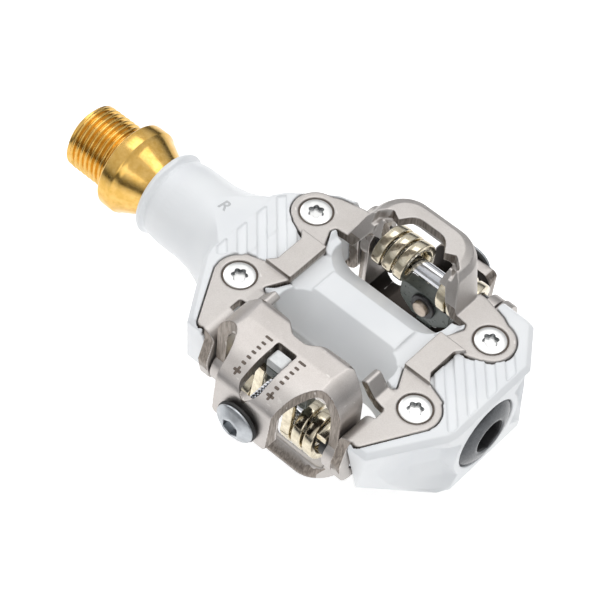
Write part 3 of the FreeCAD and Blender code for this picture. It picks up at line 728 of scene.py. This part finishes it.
head_rings = [(0.1, 3.9), (0.2, 4.2), (0.4, 4.3), (0.65, 4.26), (0.82, 4.08), (1.12, 3.56),
              (1.45, 2.95), (1.7, 2.52), (1.84, 2.23), (1.88, 2.0), (1.86, hexagon(3.5)),
              (1.72, hexagon(3.3)), (0.3, hexagon(3.3))]
head = lathe("top_bolt_head", head_rings, (0, -35.0, BOLT_Z), (0, -1, 0), (0, 0, 1), 96, 32)
washer = lathe("top_bolt_collar", [(-0.5, 3.9), (-0.5, 4.3), (-0.35, 4.5), (0.1, 4.5), (0.25, 4.3),
                                   (0.25, 3.9)], (0, -35.0, BOLT_Z), (0, -1, 0), (0, 0, 1), 64, 30)
rod_rings = [(0.0, 1.95), (0.6, 1.95)] + threaded_rings(0.7, 15.4, 0.7, 1.98, 0.38, 12)
rod_rings += [(15.5, 1.62), (15.8, 1.62)]
rod = lathe("top_bolt_rod", rod_rings, (0, -34.9, BOLT_Z), (0, 1, 0), (0, 0, 1), 48, 30)
tip = lathe("top_bolt_tip", [(15.5, 1.5), (15.5, 1.8), (16.0, 1.8), (16.35, 1.62), (16.48, 1.35)],
            (0, -34.9, BOLT_Z), (0, 1, 0), (0, 0, 1), 48, 30)
clip_rings = [(14.8, 1.9), (14.8, 2.7), (15.0, 2.85), (15.3, 2.85), (15.5, 2.7), (15.5, 1.9)]
clip = lathe("top_bolt_clip", clip_rings, (0, -34.9, BOLT_Z), (0, 1, 0), (0, 0, 1), 64, 30)
finish_pair(rod, "_bolt", MATERIALS["chrome"], ["_tension_bolt"])
finish_pair(head, "_bolt", MATERIALS["bolt_head"])
finish_pair(tip, "_bolt", MATERIALS["bronze"])
finish_pair(clip, "_bolt", MATERIALS["black_plastic"])
finish_pair(washer, "_claw", MATERIALS["black_rubber"], ["_bolt_washer"])

block = softened("top_tension_block", "top_block_shell", 0.12, 5, 0.5)
indicator = softened("top_tension_indicator", "top_indicator_shell", 0.08, 6, 0.7)
finish_pair(block, "_block", MATERIALS["block_dark"], ["_tension_block"])
finish_pair(indicator, "_block", MATERIALS["indicator_white"],
            ["_tension_indicator"])

# ---- stage, light and camera -------------------------------------------------------------

# The floor lies just below the reach of the pedal as it turns on its spindle.
reach = max(math.hypot(corner.y, corner.z) for corner in cad_box)
bpy.ops.mesh.primitive_plane_add(size=4.0, location=(CLEAT_X * 0.001, 0, -reach))
floor = bpy.context.object
floor.name = "floor"
floor_shader = Shader("floor")
floor_shader.set(Base_Color=(0.93, 0.93, 0.93, 1.0), Roughness=0.9)
glow_distance = floor_shader.node("ShaderNodeVectorMath", settings={"operation": "LENGTH"},
                        Vector=floor_shader.place).outputs["Value"]
# Painted light: the floor glows, most strongly beneath the pedal and fading out by 0.34 m, lifting the
# shade under it.
floor_shader.set(Emission_Color=(1.0, 1.0, 1.0, 1.0),
                 Emission_Strength=floor_shader.range(glow_distance, 0.10, 0.34, 0.42, 0.0))
floor_shader.relief(floor_shader.noise(300, 2), 0.01)
floor.data.materials.append(floor_shader.material)

world = bpy.data.worlds.new("studio")
scene.world = world
world.use_nodes = True
tree = world.node_tree
background = tree.nodes["Background"]
place = tree.nodes.new("ShaderNodeTexCoord")
split = tree.nodes.new("ShaderNodeSeparateXYZ")
ramp = tree.nodes.new("ShaderNodeValToRGB")
tree.links.new(place.outputs["Generated"], split.inputs[0])
tree.links.new(split.outputs["Z"], ramp.inputs[0])
tree.links.new(ramp.outputs[0], background.inputs[0])
stops = ramp.color_ramp.elements
stops[0].position = 0.0
stops[0].color = (0.10, 0.105, 0.115, 1)
stops[1].position = 0.14
stops[1].color = (0.12, 0.125, 0.135, 1)
high = stops.new(0.42)
high.color = (0.80, 0.81, 0.83, 1)
zenith = stops.new(0.75)
zenith.color = (1.0, 1.0, 1.0, 1)
background.inputs[1].default_value = 0.80


def area_light(name, place, target, size, power, color=(1, 1, 1)):
    data = bpy.data.lights.new(name, "AREA")
    data.shape = "RECTANGLE"
    data.size = size[0]
    data.size_y = size[1]
    data.energy = power
    data.color = color
    light = bpy.data.objects.new(name, data)
    scene.collection.objects.link(light)
    light.location = Vector(place)
    light.rotation_mode = "QUATERNION"
    light.rotation_quaternion = (Vector(target) - Vector(place)).to_track_quat("-Z", "Y")


middle = (0.055, 0.0, 0.0)
area_light("key", (0.05, 0.18, 0.62), middle, (0.55, 0.40), 1.0)
area_light("side", (-0.45, 0.10, 0.35), middle, (0.35, 0.35), 0.5, (0.97, 0.985, 1.0))
area_light("rear", (0.42, -0.42, 0.30), middle, (0.30, 0.30), 0.25)

CAMERA_ANGLES = (37.278, 52.718, 5.932)     # azimuth, elevation and roll, in degrees
CAMERA_TARGET = (-14.237, -1.253, 0.0)
CAMERA_DISTANCE = 0.48254
FOCAL_LENGTH = 151.416
azimuth, elevation, roll = (math.radians(angle) for angle in CAMERA_ANGLES)
back = Vector((math.sin(azimuth) * math.cos(elevation), -math.cos(azimuth) * math.cos(elevation),
               math.sin(elevation)))
right = Vector((0, 0, 1)).cross(back).normalized()
up = back.cross(right)
turned_right = right * math.cos(roll) + up * math.sin(roll)
turned_up = up * math.cos(roll) - right * math.sin(roll)
camera_data = bpy.data.cameras.new("camera")
camera_data.sensor_width = 36.0
camera_data.lens = FOCAL_LENGTH
camera_data.clip_start = 0.01
camera = bpy.data.objects.new("camera", camera_data)
scene.collection.objects.link(camera)
spot = to_row(CAMERA_TARGET) + back * CAMERA_DISTANCE
camera.matrix_world = Matrix(((turned_right.x, turned_up.x, back.x, spot.x),
                              (turned_right.y, turned_up.y, back.y, spot.y),
                              (turned_right.z, turned_up.z, back.z, spot.z),
                              (0, 0, 0, 1)))
scene.camera = camera
scene.view_settings.view_transform = "Standard"
